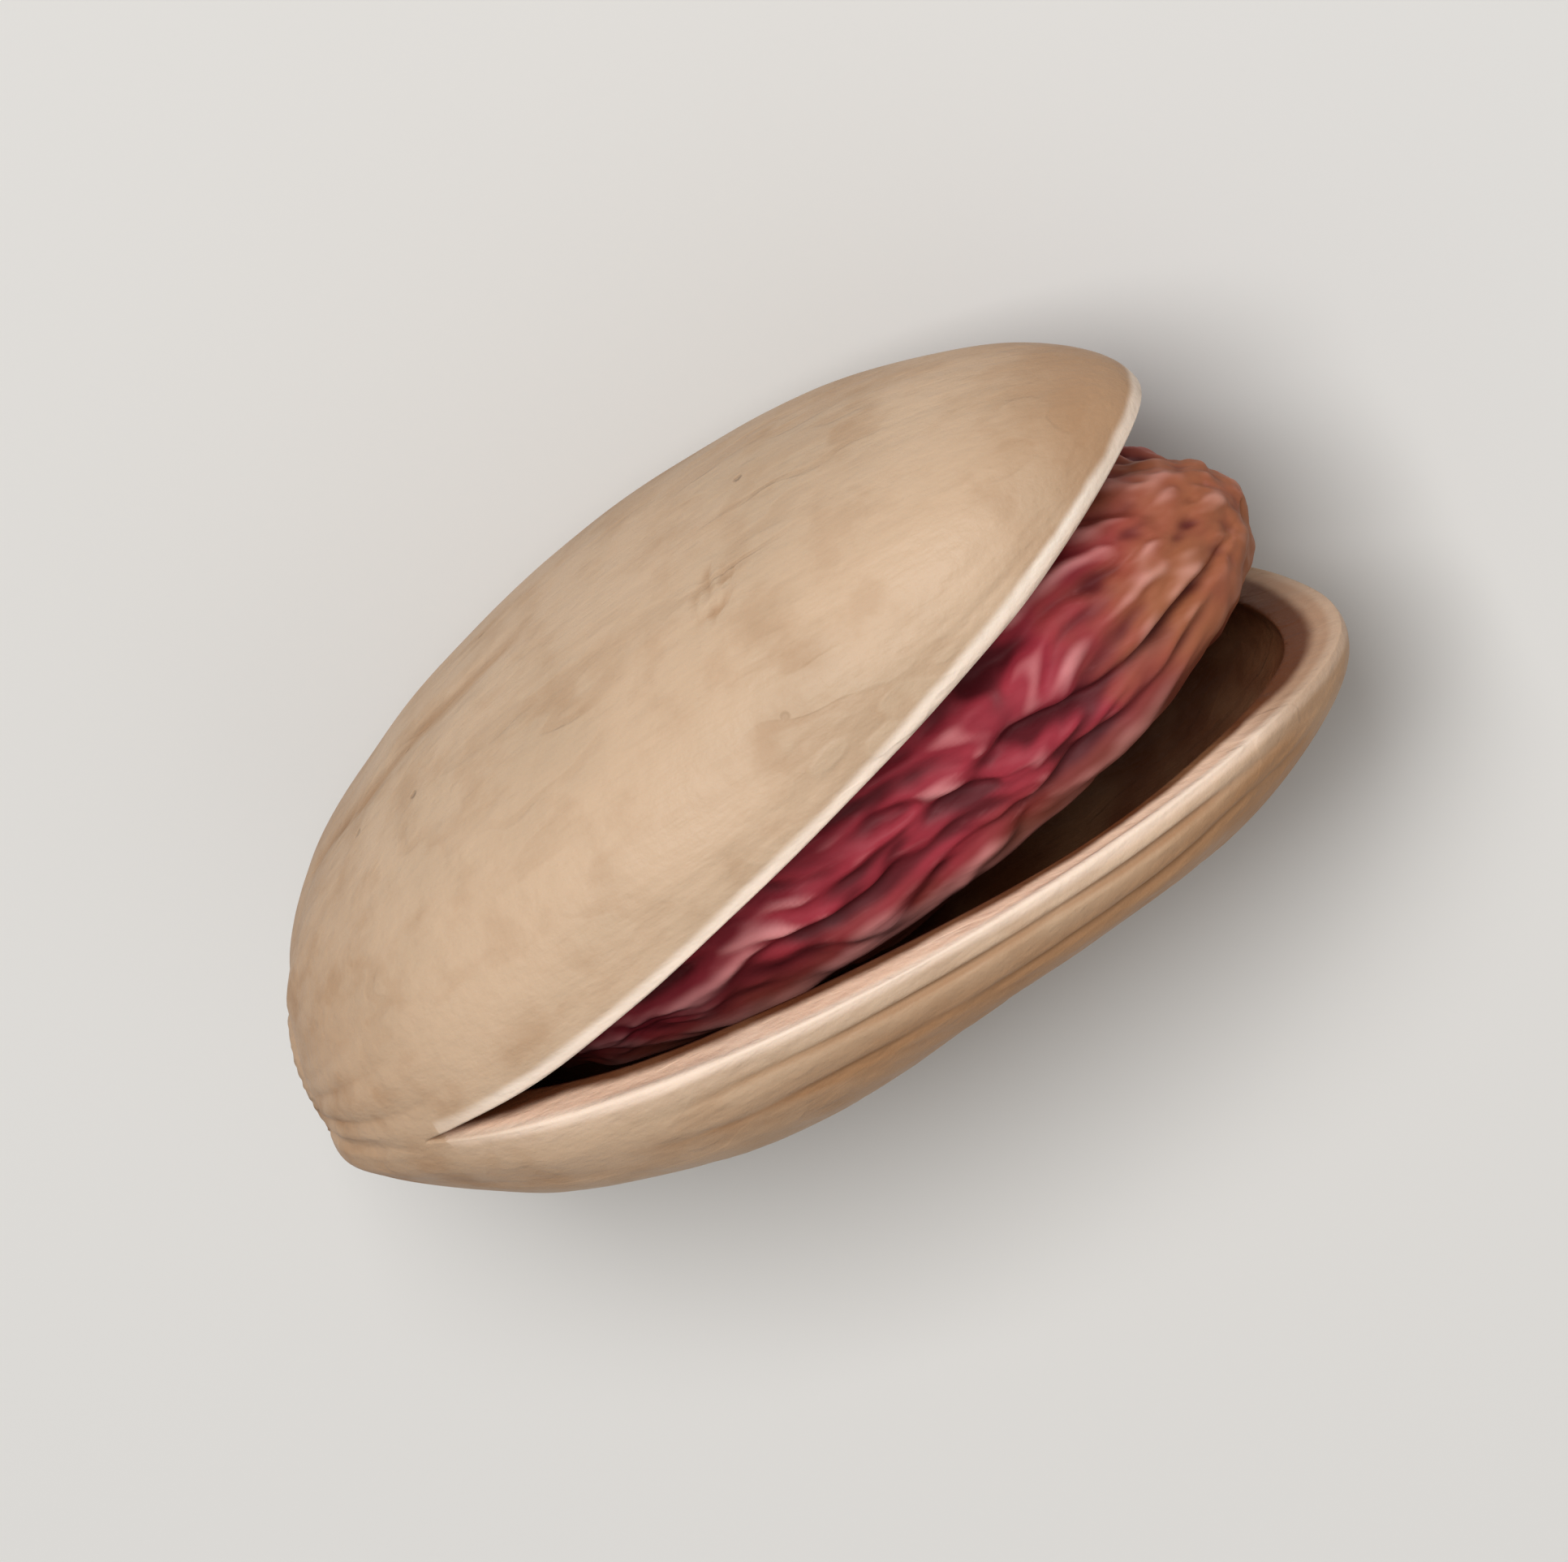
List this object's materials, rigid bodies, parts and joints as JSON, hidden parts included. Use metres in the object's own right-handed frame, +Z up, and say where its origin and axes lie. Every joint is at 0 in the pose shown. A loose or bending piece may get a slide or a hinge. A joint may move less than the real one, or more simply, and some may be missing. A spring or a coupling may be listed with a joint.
{
  "type": "pistachio in shell",
  "caption": "Pistachio in its split shell: pale hard valves, bent open and joined at the stem end, with the kernel in its purple-red skin inside.",
  "frame": {"origin": "middle of the nut's bounding box, on the surface that the nut rests on", "axes": "+X from the stem end to the tips of the valves; +Z up; the split side faces up and towards -Y"},
  "size_m": [0.0195, 0.0106, 0.0118],
  "materials": {
    "shell": "satin",
    "kernel": "satin"
  },
  "bodies": {
    "root": {"shell": "shell", "kernel": "kernel"}
  },
  "joints": []
}
